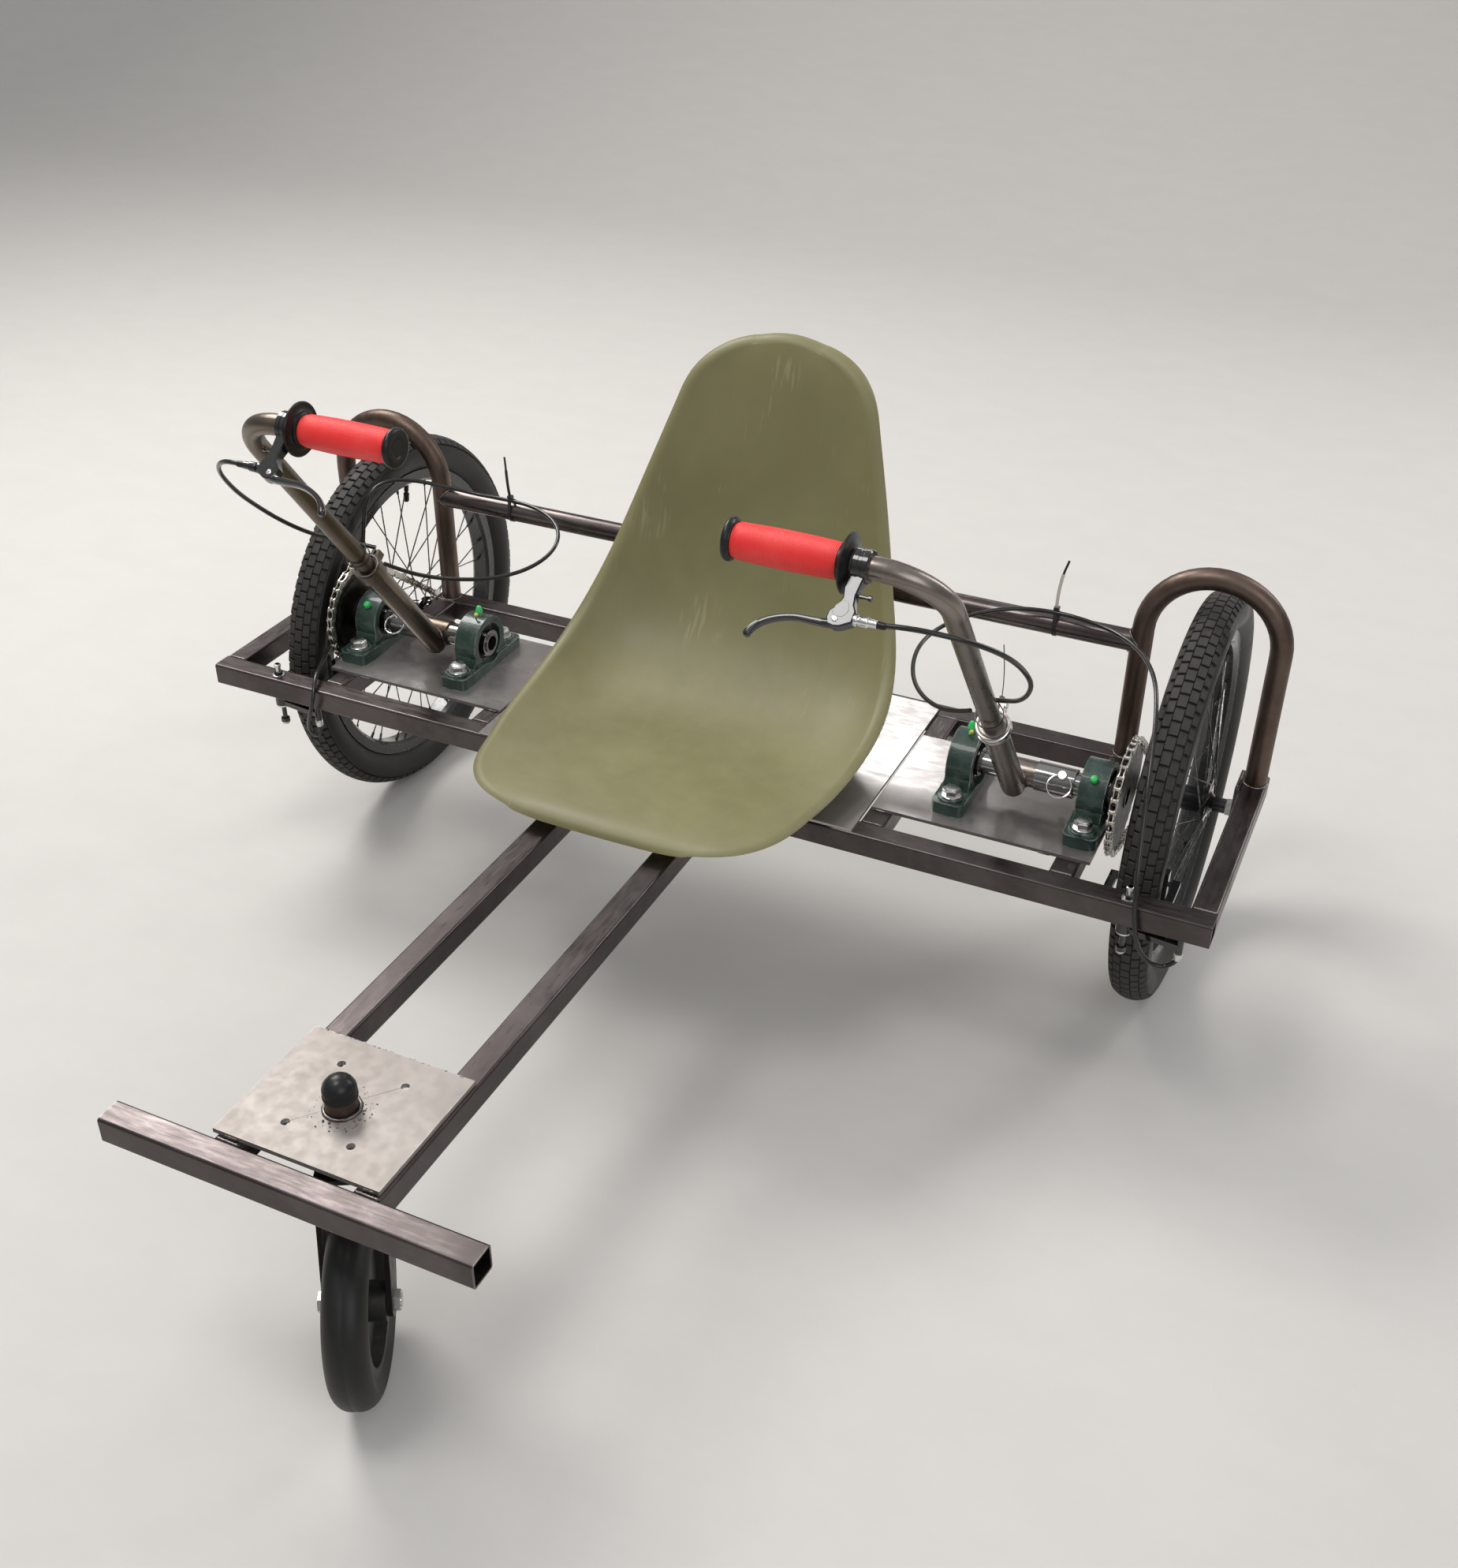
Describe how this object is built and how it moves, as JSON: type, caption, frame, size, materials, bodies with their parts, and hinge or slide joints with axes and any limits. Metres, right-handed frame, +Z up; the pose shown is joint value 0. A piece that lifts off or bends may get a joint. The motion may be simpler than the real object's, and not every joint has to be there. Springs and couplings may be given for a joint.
{
  "type": "lever-driven hand trike",
  "caption": "Low hand trike: tubular frame with bucket seat, two hand levers driving spoked wheels by chain, and a swivelling caster at the foot end.",
  "frame": {"origin": "middle of the footprint on the ground", "axes": "+Z up, -Y towards the foot end and the caster, +X to the rider's left"},
  "size_m": [1.284, 1.2841, 0.7606],
  "materials": {
    "mill_steel": "brown mill scale",
    "plate_steel": "pale rolled plate",
    "round_tube_steel": "worn brown tube",
    "black_plastic": "matte",
    "zinc_steel": "bright zinc",
    "green_casting": "painted casting",
    "bearing_steel": "ground steel",
    "chain_steel": "nickel",
    "black_alloy": "anodised black",
    "black_cable": "gloss",
    "olive_shell": "moulded olive",
    "black_rubber": "matte",
    "red_rubber": "soft red",
    "tyre_rubber": "road tyre",
    "spoke_steel": "dull"
  },
  "bodies": {
    "chassis": {"front_tube": "mill_steel", "rear_tube": "mill_steel", "side_tubes": "mill_steel", "longitudinals": "mill_steel", "seat_bearers": "mill_steel", "rails": "mill_steel", "foot_bar": "mill_steel", "seat_plate": "plate_steel", "bearing_plates": "plate_steel", "caster_plate": "plate_steel", "caster_stem": "round_tube_steel", "stem_cap": "black_plastic", "hoops": "round_tube_steel", "cross_tube": "round_tube_steel", "axle_brackets": "mill_steel", "wheel_axles": "zinc_steel", "pillow_blocks": "green_casting", "bearing_inserts": "bearing_steel", "chains": "chain_steel", "brake_calipers": "black_alloy", "frame_cables": "black_cable", "seat_shell": "olive_shell", "seat_spacers": "black_rubber"},
    "caster_swivel": {"caster_fork": "zinc_steel", "caster_axle": "zinc_steel"},
    "caster_wheel": {"caster_tyre": "tyre_rubber", "caster_hub": "black_plastic"},
    "left_wheel": {"left_tyre": "tyre_rubber", "left_rim": "black_alloy", "left_spokes": "spoke_steel", "left_hub": "bearing_steel"},
    "left_lever": {"left_lever_tube": "round_tube_steel", "left_handle_tube": "round_tube_steel", "left_grip": "red_rubber", "left_grip_ends": "black_rubber", "left_brake_lever": "black_alloy", "left_crank_shaft": "bearing_steel", "left_chainwheel": "chain_steel", "left_coupler": "bearing_steel", "left_coupler_pin": "zinc_steel", "left_lever_cable": "black_cable"},
    "right_wheel": {"right_tyre": "tyre_rubber", "right_rim": "black_alloy", "right_spokes": "spoke_steel", "right_hub": "bearing_steel"},
    "right_lever": {"right_lever_tube": "round_tube_steel", "right_handle_tube": "round_tube_steel", "right_grip": "red_rubber", "right_grip_ends": "black_rubber", "right_brake_lever": "black_alloy", "right_crank_shaft": "bearing_steel", "right_chainwheel": "chain_steel", "right_coupler": "bearing_steel", "right_coupler_pin": "zinc_steel", "right_lever_cable": "black_cable"}
  },
  "joints": [
    {"name": "caster_swivel_joint", "type": "hinge", "parent": "chassis", "child": "caster_swivel", "pos_m": [-0.004, -0.5065, 0.26], "axis": [0, 0, 1], "continuous": true},
    {"name": "caster_roll", "type": "hinge", "parent": "caster_swivel", "child": "caster_wheel", "pos_m": [0.0183, -0.54844, 0.097], "axis": [0.8829, 0.4695, 0], "continuous": true},
    {"name": "left_wheel_roll", "type": "hinge", "parent": "chassis", "child": "left_wheel", "pos_m": [0.551, 0.396, 0.25], "axis": [1, 0, 0], "continuous": true},
    {"name": "right_wheel_roll", "type": "hinge", "parent": "chassis", "child": "right_wheel", "pos_m": [-0.551, 0.396, 0.25], "axis": [1, 0, 0], "continuous": true},
    {"name": "left_lever_rock", "type": "hinge", "parent": "chassis", "child": "left_lever", "pos_m": [0.4, 0.239, 0.3315], "axis": [1, 0, 0], "range_deg": [-50, 30]},
    {"name": "right_lever_rock", "type": "hinge", "parent": "chassis", "child": "right_lever", "pos_m": [-0.4, 0.239, 0.3315], "axis": [1, 0, 0], "range_deg": [-47.5, 32.5]}
  ]
}
